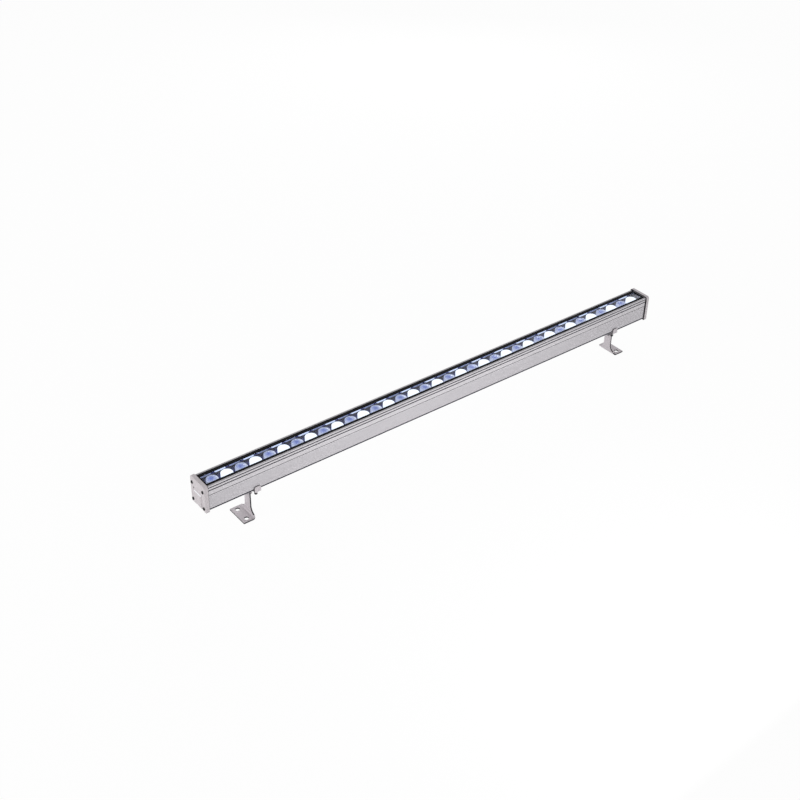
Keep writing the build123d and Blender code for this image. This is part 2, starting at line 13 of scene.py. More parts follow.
import bmesh
import bpy
from mathutils import Matrix, Vector


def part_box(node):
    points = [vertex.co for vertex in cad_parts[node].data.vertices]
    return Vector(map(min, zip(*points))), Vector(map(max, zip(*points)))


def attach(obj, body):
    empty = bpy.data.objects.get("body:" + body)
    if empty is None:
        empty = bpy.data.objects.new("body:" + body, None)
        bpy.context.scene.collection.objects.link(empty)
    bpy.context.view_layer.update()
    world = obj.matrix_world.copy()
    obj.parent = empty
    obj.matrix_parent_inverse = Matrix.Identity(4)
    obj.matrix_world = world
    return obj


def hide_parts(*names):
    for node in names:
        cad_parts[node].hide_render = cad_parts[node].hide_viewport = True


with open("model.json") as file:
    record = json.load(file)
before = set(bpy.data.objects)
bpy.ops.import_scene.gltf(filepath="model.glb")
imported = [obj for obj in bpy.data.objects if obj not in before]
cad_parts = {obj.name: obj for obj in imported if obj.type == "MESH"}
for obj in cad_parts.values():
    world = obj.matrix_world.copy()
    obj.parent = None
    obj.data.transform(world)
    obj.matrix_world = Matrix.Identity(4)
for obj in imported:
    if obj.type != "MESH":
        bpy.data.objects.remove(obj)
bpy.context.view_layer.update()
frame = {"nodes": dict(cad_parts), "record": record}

LOG = logging.getLogger("wall_washer")
MM = 0.001
LAMP_BODY = "lamp"
INPUT_NAMES = {"ior": "IOR", "specular": "Specular IOR Level"}

# What a piece's mesh carries: how much painted shade and painted highlight a place gets, and where in its
# lens it lies.
PAINTED_SHADE = "recess"
PAINTED_HIGHLIGHT = "polish"
LENS_PLACE = "lens_place"

# Noise keeps near 0.5, and at these values a finish has its darkest and its lightest tone.
TONE_BAND = (0.3, 0.7)

Colour = tuple[float, float, float]
Cells = tuple[float, float, float]
Ring = list[Vector]
Socket = bpy.types.NodeSocket


def srgb(red: int, green: int, blue: int) -> Colour:
    """Give the linear colour that shows as an eight-bit screen colour.

    Args:
        red: Red channel, 0 to 255.
        green: Green channel, 0 to 255.
        blue: Blue channel, 0 to 255.

    Returns:
        The three linear channels, 0 to 1.
    """
    knee, slope, offset, power = 0.04045, 12.92, 0.055, 2.4
    shares = (channel / 255 for channel in (red, green, blue))
    return tuple(s / slope if s <= knee else ((s + offset) / (1 + offset)) ** power for s in shares)


class ShaderGraph:
    """Nodes of one material, wired into its principled shader."""

    def __init__(self, name: str) -> None:
        """Start a material that holds only its shader and output.

        Args:
            name: Name of the new material.
        """
        self.material = bpy.data.materials.new(name)
        self.material.use_nodes = True
        self.tree = self.material.node_tree
        self.tree.nodes.clear()
        self.shader = self.tree.nodes.new("ShaderNodeBsdfPrincipled")
        self.output = self.tree.nodes.new("ShaderNodeOutputMaterial")
        self.tree.links.new(self.shader.outputs["BSDF"], self.output.inputs["Surface"])

    def feed(self, socket: Socket, value: object) -> None:
        """Link a socket to another one, or set its own value.

        Args:
            socket: The input to feed.
            value: A socket to link from, or a plain number, colour or vector.
        """
        if isinstance(value, Socket):
            self.tree.links.new(value, socket)
        elif socket.type == "RGBA":
            socket.default_value = (*value, 1.0)
        else:
            socket.default_value = value

    def shade(self, **values: object) -> None:
        """Set inputs of the principled shader.

        Args:
            **values: Input names in lower case with underscores, and what feeds them.
        """
        for name, value in values.items():
            self.feed(self.shader.inputs[INPUT_NAMES.get(name, name.replace("_", " ").title())], value)

    def noise(self, cells: Cells, detail: float = 2.0) -> Socket:
        """Add cloudy noise on the piece's own coordinates.

        Args:
            cells: Cells per metre along X, Y and Z.
            detail: Octaves of finer noise.

        Returns:
            The noise, around 0.5.
        """
        coordinates = self.tree.nodes.new("ShaderNodeTexCoord")
        mapping = self.tree.nodes.new("ShaderNodeMapping")
        self.feed(mapping.inputs["Vector"], coordinates.outputs["Object"])
        self.feed(mapping.inputs["Scale"], cells)
        texture = self.tree.nodes.new("ShaderNodeTexNoise")
        self.feed(texture.inputs["Vector"], mapping.outputs["Vector"])
        self.feed(texture.inputs["Scale"], 1.0)
        self.feed(texture.inputs["Detail"], detail)
        return texture.outputs["Fac"]

    def rescale(self, value: Socket, start: float, stop: float) -> Socket:
        """Rescale a value so that start to stop becomes 0 to 1.

        Args:
            value: What is rescaled.
            start: Value that becomes 0.
            stop: Value that becomes 1.

        Returns:
            The rescaled value, clamped.
        """
        node = self.tree.nodes.new("ShaderNodeMapRange")
        self.feed(node.inputs["Value"], value)
        self.feed(node.inputs["From Min"], start)
        self.feed(node.inputs["From Max"], stop)
        return node.outputs["Result"]

    def ramp(self, factor: Socket, stops: Sequence[tuple[float, Colour]]) -> Socket:
        """Turn a number into a colour.

        Args:
            factor: The number, 0 to 1.
            stops: Places on the ramp and the colours there, in order.

        Returns:
            The colour.
        """
        node = self.tree.nodes.new("ShaderNodeValToRGB")
        elements = node.color_ramp.elements
        while len(elements) < len(stops):
            elements.new(1.0)
        for element, (place, colour) in zip(elements, stops):
            element.position = place
            element.color = (*colour, 1.0)
        self.feed(node.inputs["Fac"], factor)
        return node.outputs["Color"]

    def mix(self, factor: object, first: object, second: object) -> Socket:
        """Blend two colours.

        Args:
            factor: Share of the second colour.
            first: Colour at 0.
            second: Colour at 1.

        Returns:
            The blended colour.
        """
        node = self.tree.nodes.new("ShaderNodeMix")
        node.data_type = "RGBA"
        factor_socket, first_socket, second_socket = node.inputs[0], node.inputs[6], node.inputs[7]
        self.feed(factor_socket, factor)
        self.feed(first_socket, first)
        self.feed(second_socket, second)
        return node.outputs[2]

    def attribute(self, name: str, output: str = "Fac") -> Socket:
        """Give what the piece's mesh carries under a name, or 0 where it carries none.

        Args:
            name: Name of the attribute.
            output: Fac for a number, Vector for a place.

        Returns:
            The number or place.
        """
        node = self.tree.nodes.new("ShaderNodeAttribute")
        node.attribute_name = name
        return node.outputs[output]

    def sum(self, *terms: tuple[float, Socket], start: float = 0.0) -> Socket:
        """Add up weighted numbers.

        Args:
            *terms: Each weight with the number it multiplies.
            start: What the sum starts from.

        Returns:
            The sum.
        """
        total: object = start
        for weight, value in terms:
            node = self.tree.nodes.new("ShaderNodeMath")
            node.operation = "MULTIPLY_ADD"
            self.feed(node.inputs[0], value)
            self.feed(node.inputs[1], weight)
            self.feed(node.inputs[2], total)
            total = node.outputs[0]
        return total

    def bump(self, height: Socket, depth: float) -> None:
        """Roughen the surface of the principled shader.

        Args:
            height: Height, 0 to 1.
            depth: Metres from the lowest to the highest point.
        """
        node = self.tree.nodes.new("ShaderNodeBump")
        self.feed(node.inputs["Height"], height)
        self.feed(node.inputs["Distance"], depth)
        self.feed(node.inputs["Strength"], 1.0)
        self.shade(normal=node.outputs["Normal"])


class Flow(Enum):
    """How the marks of making run, in cells per metre along X, Y and Z."""

    DRAWN = (2.5, 700.0, 700.0)
    ROLLED = (90.0, 30.0, 90.0)
    CAST = (140.0, 140.0, 140.0)


class LensState(Enum):
    """Whether a lens has its light on, with the record's slot for it."""

    LIT = "lens_lit"
    PALE = "lens_pale"


class Side(Enum):
    """The two ends of the lamp, as the CAD nodes name them."""

    LEFT = "left"
    RIGHT = "right"


@dataclass(frozen=True)
class Finish:
    """What every finish has: the record's slot that it dresses, and its main colour."""

    slot: str
    colour: Colour
    roughness: float

    def material(self) -> bpy.types.Material:
        """Make the finish as a material.

        Returns:
            The new material, named for its slot.
        """
        graph = ShaderGraph(self.slot)
        self.paint(graph)
        return graph.material

    def paint(self, graph: ShaderGraph) -> None:
        """Add the nodes of the finish; each kind of finish has its own."""
        raise NotImplementedError

    def tones(self, wander: float) -> list[tuple[float, Colour]]:
        """Give ramp stops about the main colour.

        Args:
            wander: How much darker and lighter than the main colour the stops are, as a share of it.

        Returns:
            The darkest and the lightest tone, each with its place on the ramp.
        """
        factors = zip(TONE_BAND, (1 - wander, 1 + wander))
        return [(place, tuple(channel * factor for channel in self.colour)) for place, factor in factors]


@dataclass(frozen=True)
class Metal(Finish):
    """Bare or anodised metal with its grain and marks of making."""

    metallic: float
    flow: Flow
    grain: float
    pit_depth: float
    specular: float = 0.3
    wander: float = 0.08
    # Colours of the painted shade in hollows, creases and inner faces, and of the painted highlight, which
    # the mesh's attributes place.
    recess: Colour = srgb(42, 41, 46)
    painted_highlight_colour: Colour = srgb(240, 240, 244)
    gloss: float = 0.15
    cloud_cells: Cells = (7.0, 25.0, 25.0)
    tone_shares: tuple[float, float, float] = (0.4, 0.35, 0.25)
    rough_shares: tuple[float, float] = (0.25, 0.15)
    bump_shares: tuple[float, float] = (0.3, 0.7)

    def paint(self, graph: ShaderGraph) -> None:
        """Mix marks of making, fine grain and broad clouding, in the shares that the fields give, then lay
        the mesh's painted shade and painted highlight over them.

        Args:
            graph: Material that gets the nodes.
        """
        marks = graph.noise(self.flow.value, detail=3.0)
        grain = graph.noise((1 / self.grain,) * 3)
        clouds = graph.noise(self.cloud_cells)
        polish = graph.attribute(PAINTED_HIGHLIGHT)
        tone = graph.sum(*zip(self.tone_shares, (marks, grain, clouds)))
        # Painted shade darkens the tone where the mesh carries it, and painted highlight lightens it, with
        # more metal and less roughness there.
        colour = graph.mix(graph.attribute(PAINTED_SHADE), graph.ramp(tone, self.tones(self.wander)), self.recess)
        graph.shade(base_color=graph.mix(polish, colour, self.painted_highlight_colour), specular=self.specular)
        graph.shade(metallic=graph.sum((1.0 - self.metallic, polish), start=self.metallic))
        shine = (self.gloss - self.roughness, polish)
        smoothest = self.roughness - sum(self.rough_shares) / 2
        graph.shade(roughness=graph.sum(*zip(self.rough_shares, (marks, grain)), shine, start=smoothest))
        graph.bump(graph.sum(*zip(self.bump_shares, (marks, grain))), self.pit_depth)


@dataclass(frozen=True)
class Moulded(Finish):
    """Moulded plastic or rubber with a spark-eroded skin."""

    grain: float
    pit_depth: float
    wander: float = 0.15
    specular: float = 0.4
    cloud_cells: Cells = (40.0, 60.0, 60.0)
    skin_share: float = 0.5
    rough_share: float = 0.3

    def paint(self, graph: ShaderGraph) -> None:
        """Mix skin grain with faint flow clouds.

        Args:
            graph: Material that gets the nodes.
        """
        skin = graph.noise((1 / self.grain,) * 3, detail=3.0)
        clouds = graph.noise(self.cloud_cells)
        tone = graph.sum((self.skin_share, skin), (1 - self.skin_share, clouds))
        graph.shade(base_color=graph.ramp(tone, self.tones(self.wander)), specular=self.specular)
        smoothest = self.roughness - self.rough_share / 2
        graph.shade(roughness=graph.sum((self.rough_share, skin), start=smoothest))
        graph.bump(skin, self.pit_depth)


@dataclass(frozen=True)
class Glass(Finish):
    """Clear cover glass with faint wipe marks and a coat that keeps reflections down."""

    ior: float = 1.5
    mirror: Colour = (0.05, 0.05, 0.06)
    wipe_cells: Cells = (12.0, 160.0, 20.0)
    wipe_band: tuple[float, float] = (0.45, 0.8)

    def paint(self, graph: ShaderGraph) -> None:
        """Let light through, with roughness only from the wipe marks.

        Args:
            graph: Material that gets the nodes.
        """
        wipes = graph.rescale(graph.noise(self.wipe_cells, detail=3.0), *self.wipe_band)
        graph.shade(base_color=self.colour, ior=self.ior, transmission_weight=1.0, specular_tint=self.mirror)
        graph.shade(roughness=graph.sum((self.roughness, wipes)))


@dataclass(frozen=True)
class LensPlastic(Finish):
    """Optical plastic that glows, in a colour that follows the place within its lens: a painted image of
    reflection and refraction in the dome, with a darker core off the middle and a lighter rim.

    Places and reaches are shares of the lens radius.
    """

    core: Colour
    rim: Colour
    glow: float
    body: float
    # Where the darker core, a painted image of the LED seen through the dome, lies.
    core_place: tuple[float, float, float] = (-0.1, 0.08, 0.0)
    core_reach: float = 0.2
    colour_reach: float = 0.6
    rim_reach: float = 0.95
    grain_cells: Cells = (700.0, 700.0, 700.0)
    grain_share: float = 0.08
    specular: float = 0.3
    coat: float = 0.25

    def paint(self, graph: ShaderGraph) -> None:
        """Paint the colour from the core to the rim, and let the lens glow.

        Args:
            graph: Material that gets the nodes.
        """
        offset = graph.tree.nodes.new("ShaderNodeVectorMath")
        offset.operation = "DISTANCE"
        graph.feed(offset.inputs[0], graph.attribute(LENS_PLACE, "Vector"))
        graph.feed(offset.inputs[1], self.core_place)
        grain = (self.grain_share, graph.noise(self.grain_cells))
        distance = graph.sum((1.0, offset.outputs["Value"]), grain)
        stops = [(self.core_reach, self.core), (self.colour_reach, self.colour), (self.rim_reach, self.rim)]
        colour = graph.ramp(distance, stops)
        # On a lit lens the glow is its LED's light; on a pale lens, which is off, the glow is painted light.
        graph.shade(base_color=graph.mix(self.body, (0.0, 0.0, 0.0), colour), emission_color=colour)
        graph.shade(emission_strength=self.glow)
        graph.shade(roughness=self.roughness, specular=self.specular, coat_weight=self.coat)


FINISHES: tuple[Finish, ...] = (
    # The housing's painted shade is navy and its painted highlight pale blue, tinted as by the lenses'
    # light.
    Metal("extruded_aluminium", srgb(205, 202, 206), 0.45, metallic=0.2, flow=Flow.DRAWN, grain=0.5 * MM,
          pit_depth=0.03 * MM, recess=srgb(30, 32, 54), painted_highlight_colour=srgb(222, 228, 246)),
    Metal("cast_aluminium", srgb(197, 191, 194), 0.55, metallic=0.2, flow=Flow.CAST, grain=0.7 * MM,
          pit_depth=0.06 * MM),
    Metal("bracket_metal", srgb(200, 194, 198), 0.5, metallic=0.3, flow=Flow.ROLLED, grain=0.6 * MM,
          pit_depth=0.05 * MM),
    Metal("bright_steel", srgb(176, 178, 182), 0.3, metallic=1.0, flow=Flow.CAST, grain=0.4 * MM,
          pit_depth=0.02 * MM),
    Metal("black_screw", srgb(24, 24, 26), 0.4, metallic=0.3, flow=Flow.CAST, grain=0.4 * MM,
          pit_depth=0.02 * MM, wander=0.25),
    Metal("board_white", srgb(226, 226, 222), 0.4, metallic=0.0, flow=Flow.CAST, grain=0.5 * MM,
          pit_depth=0.01 * MM),
    Moulded("black_silicone", srgb(13, 13, 16), 0.65, grain=0.5 * MM, pit_depth=0.04 * MM, wander=0.3,
            specular=0.1),
    Moulded("tray_plastic", srgb(58, 64, 122), 0.45, grain=0.6 * MM, pit_depth=0.03 * MM, specular=0.15),
    Moulded("led_phosphor", srgb(240, 220, 140), 0.3, grain=0.2 * MM, pit_depth=0.01 * MM, wander=0.05),
    Moulded("driver_case", srgb(58, 58, 62), 0.5, grain=0.8 * MM, pit_depth=0.05 * MM),
    Moulded("terminal_plastic", srgb(214, 214, 208), 0.45, grain=0.6 * MM, pit_depth=0.03 * MM, wander=0.05),
    Moulded("gland_nylon", srgb(34, 34, 36), 0.45, grain=0.6 * MM, pit_depth=0.04 * MM, wander=0.2),
    Glass("clear_glass", (0.98, 0.99, 1.0), 0.02),
    LensPlastic(LensState.LIT.value, (0.83, 0.9, 1.0), 0.1, core=(0.85, 0.92, 1.0), rim=(0.8, 0.88, 1.0),
                glow=1.2, body=0.15),
    # The pale lenses are off: their glow and their darker core and lighter rim are painted light.
    LensPlastic(LensState.PALE.value, srgb(166, 181, 234), 0.1, core=srgb(98, 120, 206),
                rim=srgb(206, 216, 246), glow=0.4, body=0.6),
)


def add_object(name: str, mesh: bpy.types.Mesh) -> bpy.types.Object:
    """Put a mesh into the scene at the origin.

    Args:
        name: Name of the object.
        mesh: Its mesh.

    Returns:
        The new object.
    """
    piece = bpy.data.objects.new(name, mesh)
    bpy.context.scene.collection.objects.link(piece)
    return piece


def keep_result(piece: bpy.types.Object) -> None:
    """Swap a piece's mesh for what its modifiers make of it, and remove them.

    Args:
        piece: The piece.
    """
    depsgraph = bpy.context.evaluated_depsgraph_get()
    mesh = bpy.data.meshes.new_from_object(piece.evaluated_get(depsgraph), depsgraph=depsgraph)
    piece.modifiers.clear()
    piece.data = mesh


class GeometryTree:
    """A Geometry Nodes tree that is built socket by socket and then grown into plain meshes."""

    def __init__(self, name: str) -> None:
        """Start a tree with one geometry output.

        Args:
            name: Name of the tree.
        """
        self.tree = bpy.data.node_groups.new(name, "GeometryNodeTree")
        self.tree.interface.new_socket("Geometry", in_out="OUTPUT", socket_type="NodeSocketGeometry")
        self.entry = self.tree.nodes.new("NodeGroupInput")
        self.exit = self.tree.nodes.new("NodeGroupOutput")

    def size(self, name: str, kind: str) -> Socket:
        """Add a named input.

        Args:
            name: Name of the input.
            kind: Kind of value, such as Float or Vector.

        Returns:
            The socket that gives the input's value.
        """
        self.tree.interface.new_socket(name, in_out="INPUT", socket_type=f"NodeSocket{kind}")
        return self.entry.outputs[name]

    def node(self, kind: str, feeds: dict[str, object], **settings: object) -> bpy.types.Node:
        """Add a node.

        Args:
            kind: Node type, without its prefix.
            feeds: What feeds each named input, a socket or a plain value.
            **settings: Options of the node.

        Returns:
            The new node.
        """
        node = self.tree.nodes.new(f"GeometryNode{kind}")
        for name, value in settings.items():
            setattr(node, name, value)
        for name, value in feeds.items():
            if isinstance(value, Socket):
                self.tree.links.new(value, node.inputs[name])
            else:
                node.inputs[name].default_value = value
        return node

    def copies(self, points: Socket) -> Socket:
        """Set a copy of the object that the input Master names on each point.

        Args:
            points: The points.

        Returns:
            The copies.
        """
        master = self.node("ObjectInfo", {"Object": self.size("Master", "Object")})
        feeds = {"Points": points, "Instance": master.outputs["Geometry"]}
        return self.node("InstanceOnPoints", feeds).outputs["Instances"]

    def close(self, geometry: Socket) -> None:
        """Realize the copies, give them their finish and end the tree.

        Args:
            geometry: The copies.
        """
        realized = self.node("RealizeInstances", {"Geometry": geometry})
        finish = self.size("Finish", "Material")
        dressed = self.node("SetMaterial", {"Geometry": realized.outputs["Geometry"], "Material": finish})
        self.tree.links.new(dressed.outputs["Geometry"], self.exit.inputs["Geometry"])

    def grow(self, name: str, values: dict[str, object]) -> bpy.types.Object:
        """Run the tree and keep its result as a plain mesh.

        Args:
            name: Name of the new piece.
            values: A value for each named input.

        Returns:
            The new object, at the origin and with no modifier.
        """
        piece = add_object(name, bpy.data.meshes.new(name))
        modifier = piece.modifiers.new(self.tree.name, "NODES")
        modifier.node_group = self.tree
        for item in self.tree.interface.items_tree:
            if item.in_out == "INPUT":
                modifier[item.identifier] = values[item.name]
        keep_result(piece)
        return piece


def circle(radius: float, height: float, turns: int) -> Ring:
    """Give the points of a circle about the Z axis.

    Args:
        radius: Radius of the circle.
        height: Its Z.
        turns: Number of points.

    Returns:
        The points, in order.
    """
    angles = (2 * math.pi * i / turns for i in range(turns))
    return [Vector((radius * math.cos(a), radius * math.sin(a), height)) for a in angles]


def hexagon(flats: float, height: float, turns: int) -> Ring:
    """Give points along a hexagon about the Z axis.

    Args:
        flats: Size across the flats.
        height: Its Z.
        turns: Number of points, a multiple of 12 so that each corner gets one.

    Returns:
        The points, in order.
    """
    sixth = math.pi / 3
    points = circle(1.0, height, turns)
    for i, point in enumerate(points):
        angle = 2 * math.pi * i / turns
        reach = flats / 2 / math.cos((angle + sixth / 2) % sixth - sixth / 2)
        point.x *= reach
        point.y *= reach
    return points


def loft(rings: Sequence[Ring]) -> bmesh.types.BMesh:
    """Skin a stack of rings with the same number of points, and close both ends to a point.

    Args:
        rings: The rings, from one end to the other.

    Returns:
        The closed shell, with its faces turned outwards.
    """
    mesh = bmesh.new()
    loops = [[mesh.verts.new(point) for point in ring] for ring in rings]
    turns = len(rings[0])
    for lower, upper in zip(loops, loops[1:]):
        for i in range(turns):
            j = (i + 1) % turns
            mesh.faces.new((lower[i], lower[j], upper[j], upper[i]))
    for loop in (loops[0], loops[-1]):
        middle = mesh.verts.new(sum((v.co for v in loop), Vector()) / turns)
        for i in range(turns):
            mesh.faces.new((loop[i], loop[(i + 1) % turns], middle))
    bmesh.ops.recalc_face_normals(mesh, faces=mesh.faces)
    return mesh


def order_faces(mesh: bmesh.types.BMesh) -> None:
    """List the faces by their corners, because a cut leaves their order to chance.

    Args:
        mesh: The working mesh.
    """
    mesh.verts.index_update()
    corners = {face: sorted(vert.index for vert in face.verts) for face in mesh.faces}
    ranks = {face: rank for rank, face in enumerate(sorted(mesh.faces, key=corners.get))}
    mesh.faces.sort(key=ranks.get)


def smooth_mesh(mesh: bmesh.types.BMesh, name: str, crease: float) -> bpy.types.Mesh:
    """Turn a working mesh into a plain one that is smooth except at its creases.

    Args:
        mesh: The working mesh, which is freed.
        name: Name of the plain mesh.
        crease: Angle between faces from which an edge stays sharp.

    Returns:
        The plain mesh.
    """
    for face in mesh.faces:
        face.smooth = True
    for edge in mesh.edges:
        edge.smooth = edge.calc_face_angle(0.0) < crease
    plain = bpy.data.meshes.new(name)
    mesh.to_mesh(plain)
    mesh.free()
    return plain


def seat(piece: bpy.types.Object, body: str, slot: str, *nodes: str) -> None:
    """Let a piece ride on a body in place of CAD nodes, and report it.

    Args:
        piece: The finished piece.
        body: Body that it moves with.
        slot: The record's slot of its finish.
        *nodes: CAD nodes that it stands for.
    """
    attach(piece, body)
    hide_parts(*nodes)
    LOG.info("%s rides on %s, %d faces, %s", piece.name, body, len(piece.data.polygons), slot)


class Palette:
    """The finishes as materials, and the slot of each CAD node."""

    def __init__(self, finishes: Sequence[Finish]) -> None:
        """Make the materials.

        Args:
            finishes: One finish for each slot of the record.
        """
        self.materials = {finish.slot: finish.material() for finish in finishes}
        self.slots = {row["node"]: row["material_slot"] for row in frame["record"]["subparts"]}

    def of_slot(self, slot: str) -> bpy.types.Material:
        """Give the material of a slot."""
        return self.materials[slot]

    def dress(self, node: str) -> None:
        """Give a CAD node that stays in view the finish of its slot."""
        for holder in frame["nodes"][node].material_slots:
            holder.material = self.materials[self.slots[node]]


@dataclass
class EasedCopy:
    """A CAD node's shape with its sharp edges eased, as casting, pressing or deburring leaves them.

    A face is square to an axis, or slants towards it, from that share of its normal upwards.
    """

    node: str
    name: str
    body: str
    ease: float
    segments: int = 2
    crease: float = math.radians(25)
    flat: float = math.radians(0.5)
    merge: float = 0.002 * MM
    square: float = 0.9
    slanted: float = 0.5

    def build(self, palette: Palette) -> None:
        """Copy, merge and ease the node, and seat the copy in its place.

        Args:
            palette: Finishes of the slots.
        """
        mesh = bmesh.new()
        mesh.from_mesh(frame["nodes"][self.node].data)
        bmesh.ops.remove_doubles(mesh, verts=mesh.verts, dist=self.merge)
        bmesh.ops.dissolve_limit(mesh, angle_limit=self.flat, verts=mesh.verts, edges=mesh.edges)
        sharp = [edge for edge in mesh.edges if edge.calc_face_angle(0.0) > self.crease]
        bmesh.ops.bevel(
            mesh, geom=sharp, offset=self.ease, offset_type="OFFSET", segments=self.segments, profile=0.5,
            affect="EDGES", clamp_overlap=True,
        )
        self.divide(mesh)
        # Carry the painted shade and the painted highlight on each face corner, for the finish to read.
        for layer, measure in ((PAINTED_SHADE, self.recess), (PAINTED_HIGHLIGHT, self.polish)):
            values = mesh.loops.layers.float.new(layer)
            for face in mesh.faces:
                for corner in face.loops:
                    corner[values] = measure(corner.vert.co, face.normal)
        slot = palette.slots[self.node]
        piece = add_object(self.name, smooth_mesh(mesh, self.name, 2 * self.crease))
        piece.data.materials.append(palette.of_slot(slot))
        self.level(piece)
        seat(piece, self.body, slot, self.node)

    def divide(self, mesh: bmesh.types.BMesh) -> None:
        """Cut faces on which the look changes; plain pieces have none."""

    def recess(self, place: Vector, normal: Vector) -> float:
        """Tell how much painted shade a point of the surface gets, from 0 to 1; plain pieces get none."""
        return 0.0

    def polish(self, place: Vector, normal: Vector) -> float:
        """Tell how much painted highlight a point of the surface gets, with a smoother finish there, from 0
        to 1; plain pieces get none.
        """
        return 0.0

    def level(self, piece: bpy.types.Object) -> None:
        """Keep the large faces flat in the shading beside their eased edges.

        Args:
            piece: The piece, whose mesh is replaced by the result.
        """
        modifier = piece.modifiers.new("level", "WEIGHTED_NORMAL")
        modifier.keep_sharp = True
        keep_result(piece)


@dataclass
class DrawnHousing(EasedCopy):
    """The extrusion, with painted shade inside and in the grooves along its sides, and a painted reflection
    of the lenses' light on its smoother glass ledges.
    """

    # How deep and how strong the painted shade falls in the long lines, on the rim's inner edge, on the ribs
    # and inside, and where the ledges' painted reflection starts.
    deepest: float = 1.4 * MM
    full: float = 1.2 * MM
    rim_full: float = 0.4 * MM
    rib_shade: float = 0.35
    rim: float = 1.0 * MM
    chamfer: float = 0.7 * MM
    ledge: float = 3.05 * MM
    inside: float = 0.9

    def __post_init__(self) -> None:
        """Read the sides, the underside, the rim and the glass ledge from the CAD nodes."""
        low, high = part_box(self.node)
        self.side, self.top = high.y, high.z
        self.underside = low.z + self.merge
        self.ledge_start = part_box("cover_glass")[0].z - self.ledge

    def recess(self, place: Vector, normal: Vector) -> float:
        """Paint shade on the inside, on the walls of the long lines, and on the ribs by their depth.

        Args:
            place: Point on the surface.
            normal: Direction that the surface faces there.

        Returns:
            0 on the plain outer faces, up to 1 in the long lines.
        """
        depth = self.side - abs(place.y)
        if place.z < self.underside or abs(normal.x) > self.square:
            return 0.0
        if place.z > self.top - self.rim:
            return min(1.0, (self.top - place.z) / self.rim_full) if depth > self.chamfer else 0.0
        if depth > self.deepest:
            return self.inside
        if abs(normal.z) > self.square:
            return 1.0
        return min(1.0, depth / self.full) * (self.rib_shade if abs(normal.z) > self.slanted else 1.0)

    def polish(self, place: Vector, normal: Vector) -> float:
        """Paint a bright reflection of the lenses' light on the faces of the glass ledges, and make them
        smoother there.

        Args:
            place: Point on the surface.
            normal: Not used.

        Returns:
            1 on the ledges, otherwise 0.
        """
        under_rim = self.ledge_start < place.z < self.top - self.rim
        return float(under_rim and self.side - abs(place.y) > 2 * self.ledge)


@dataclass
class CastCap(EasedCopy):
    """An end cap with painted shade on its overhanging inner face and in its vent, and a painted highlight
    on the top edge of its pad.
    """

    # Where the vent's painted shade and the pad's painted highlight lie.
    vent: tuple[float, float] = (12.5 * MM, 86.6 * MM)
    vent_reach: float = 1.42 * MM
    pad_top: float = 82.7 * MM
    pad_rise: float = 1.3 * MM
    pad_half: float = 11.5 * MM
    upward: float = 0.3
    opening_half: float = 13.2 * MM

    def __post_init__(self) -> None:
        """Read the ends of the cap and the height of the lens row from the CAD nodes."""
        low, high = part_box(self.node)
        self.outward = 1 if high.x > 0 else -1
        self.reach = max(abs(low.x), abs(high.x))
        self.opening = (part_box("lens_tray")[1].z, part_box("cover_glass")[0].z)

    def divide(self, mesh: bmesh.types.BMesh) -> None:
        """Cut the inner face around the opening to the row of lenses.

        Args:
            mesh: The working mesh.
        """
        cuts = [((0.0, side * self.opening_half, 0.0), (0.0, 1.0, 0.0)) for side in (-1, 1)]
        cuts += [((0.0, 0.0, height), (0.0, 0.0, 1.0)) for height in self.opening]
        for place, direction in cuts:
            faces = [face for face in mesh.faces if self.inner(face.normal)]
            pieces = dict.fromkeys(piece for face in faces for piece in (face, *face.edges, *face.verts))
            bmesh.ops.bisect_plane(
                mesh, geom=list(pieces), dist=self.merge, plane_co=place, plane_no=direction,
            )
        order_faces(mesh)

    def recess(self, place: Vector, normal: Vector) -> float:
        """Paint shade on the inner face around the opening, and in the vent.

        Args:
            place: Point on the surface.
            normal: Direction that the surface faces there.

        Returns:
            1 on those faces, otherwise 0.
        """
        off_vent = math.hypot(place.y - self.vent[0], place.z - self.vent[1])
        around = self.inner(normal) and not self.beside_lenses(place)
        return float(around or off_vent < self.vent_reach)

    def polish(self, place: Vector, normal: Vector) -> float:
        """Paint a highlight on the top edge of the pad.

        Args:
            place: Point on the surface.
            normal: Direction that the surface faces there.

        Returns:
            1 on that edge, otherwise 0.
        """
        on_pad = abs(place.x) > self.reach - self.pad_rise and abs(place.y) < self.pad_half
        return float(on_pad and normal.z > self.upward and place.z > self.pad_top)

    def inner(self, normal: Vector) -> bool:
        """Tell whether a face looks towards the middle of the lamp."""
        return normal.x * self.outward < -self.square

    def beside_lenses(self, place: Vector) -> bool:
        """Tell whether a point lies within the opening to the row of lenses."""
        bottom, top = self.opening
        across = abs(place.y) < self.opening_half + self.merge
        return across and bottom - self.merge < place.z < top + self.merge


@dataclass
class BentPlate(EasedCopy):
    """A foot, with painted shade on its sheared edges and in its punched holes, darker than its rolled
    faces.
    """

    sheet: float = 3.0 * MM
    edge_turn: float = 0.4

    def __post_init__(self) -> None:
        """Find the side of the sheet that its arm is on."""
        low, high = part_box(self.node)
        self.arm = low.x if abs(low.x) < abs(high.x) else high.x

    def recess(self, place: Vector, normal: Vector) -> float:
        """Paint shade on the edges and on the walls of the holes.

        Args:
            place: Point on the surface.
            normal: Direction that the surface faces there.

        Returns:
            1 on an edge, otherwise 0.
        """
        beyond_arm = abs(place.x - self.arm) > self.sheet
        upright = abs(normal.z) < self.edge_turn
        return float(abs(normal.y) > self.edge_turn or (beyond_arm and upright))


